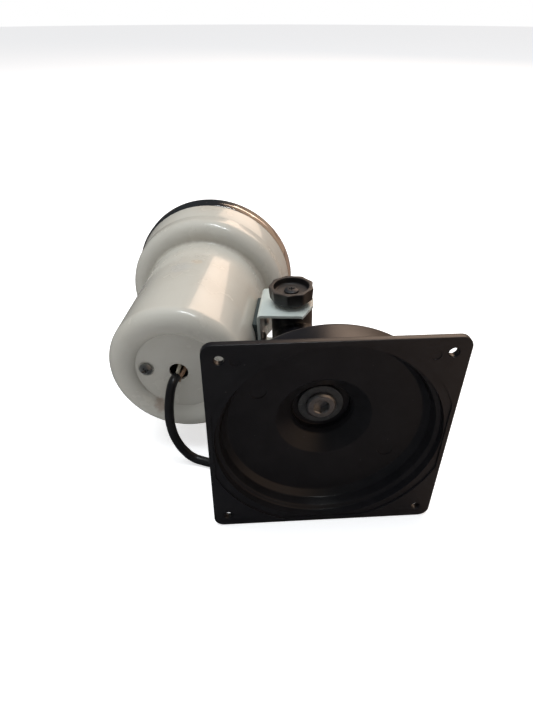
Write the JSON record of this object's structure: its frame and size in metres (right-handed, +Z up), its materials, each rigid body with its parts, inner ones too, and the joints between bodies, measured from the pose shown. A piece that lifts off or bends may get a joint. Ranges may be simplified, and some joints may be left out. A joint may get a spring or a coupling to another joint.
{
  "type": "alarm siren",
  "caption": "Motor-driven alarm siren in a stepped enamelled can with a chromed mouth ring, on a clamp-tilt neck and a square swivel base plate.",
  "frame": {"origin": "centre of the base plate's mounting face, where the wall holds it", "axes": "+Y out from the wall along the pan axis, +Z up, +X to the right seen from the wall side"},
  "size_m": [0.1809, 0.2063, 0.12],
  "materials": {
    "enamel": "gloss cream stoved enamel",
    "bracket_enamel": "satin pale grey-green enamel",
    "black_plastic": "satin moulded black plastic",
    "chrome": "bright chrome plate",
    "zinc": "dull zinc plate",
    "grey_washer": "dark phosphated steel",
    "brass": "plain brass",
    "fibre": "brown vulcanised fibre",
    "rubber": "black rubber",
    "flex": "black flexible sheath",
    "aluminium": "die-cast aluminium",
    "laminations": "varnished iron laminations",
    "copper": "enamelled copper wire",
    "carbon": "carbon",
    "bronze": "sintered bronze",
    "ivory": "ivory insulation"
  },
  "bodies": {
    "base": {"base_plate": "black_plastic", "pivot_washer": "grey_washer"},
    "neck": {"neck": "black_plastic", "neck_insert": "brass", "pivot_screw": "zinc", "friction_disc": "fibre", "clamp_sleeve": "zinc"},
    "knob": {"clamp_knob": "black_plastic", "clamp_stud": "zinc", "knob_screw": "black_plastic"},
    "head": {"tilt_bracket": "bracket_enamel", "bracket_pad": "rubber", "knob_washer": "zinc", "clamp_nut": "zinc", "bracket_screw_rear": "zinc", "bracket_screw_front": "zinc", "bracket_nut_rear": "zinc", "bracket_nut_front": "zinc", "housing": "enamel", "front_collar": "enamel", "front_ring": "chrome", "front_grille": "black_plastic", "stator_plate": "aluminium", "rear_screw_left": "zinc", "rear_screw_right": "zinc", "motor_rear_bracket": "aluminium", "motor_front_bracket": "aluminium", "bearing_rear": "bronze", "bearing_front": "bronze", "field_core": "laminations", "field_coil_1": "copper", "field_coil_2": "copper", "brush_holder_1": "brass", "brush_holder_2": "brass", "brush_1": "carbon", "brush_2": "carbon", "brush_spring_1": "zinc", "brush_spring_2": "zinc", "tie_bolt_1": "zinc", "tie_bolt_2": "zinc", "terminal_block": "ivory", "inner_lead": "ivory", "cable_clamp": "zinc", "power_cord": "flex", "cord_coil": "flex", "cord_tail": "flex", "plug_body": "rubber", "plug_pin_1": "brass", "plug_pin_2": "brass"},
    "rotor": {"rotor_shaft": "zinc", "armature_core": "laminations", "winding_head_rear": "copper", "winding_head_front": "copper", "commutator": "copper", "siren_rotor": "aluminium", "rotor_washer": "zinc", "rotor_nut": "zinc"}
  },
  "joints": [
    {"name": "pan", "type": "hinge", "parent": "base", "child": "neck", "pos_m": [0, 0, 0], "axis": [0, 1, 0], "range_deg": [-180, 180]},
    {"name": "tilt", "type": "hinge", "parent": "neck", "child": "head", "pos_m": [-0.0081, 0.1036, 0.00226], "axis": [-0.0419, 0, 0.9991], "range_deg": [-120, 12]},
    {"name": "knob_turn", "type": "hinge", "parent": "head", "child": "knob", "pos_m": [-0.0081, 0.1036, 0.00226], "axis": [-0.0419, 0, 0.9991], "range_deg": [0, 270]},
    {"name": "rotor_spin", "type": "hinge", "parent": "head", "child": "rotor", "pos_m": [-0.07938, 0.06506, -0.00072], "axis": [0.1529, 0.9882, 0.0064], "continuous": true}
  ]
}
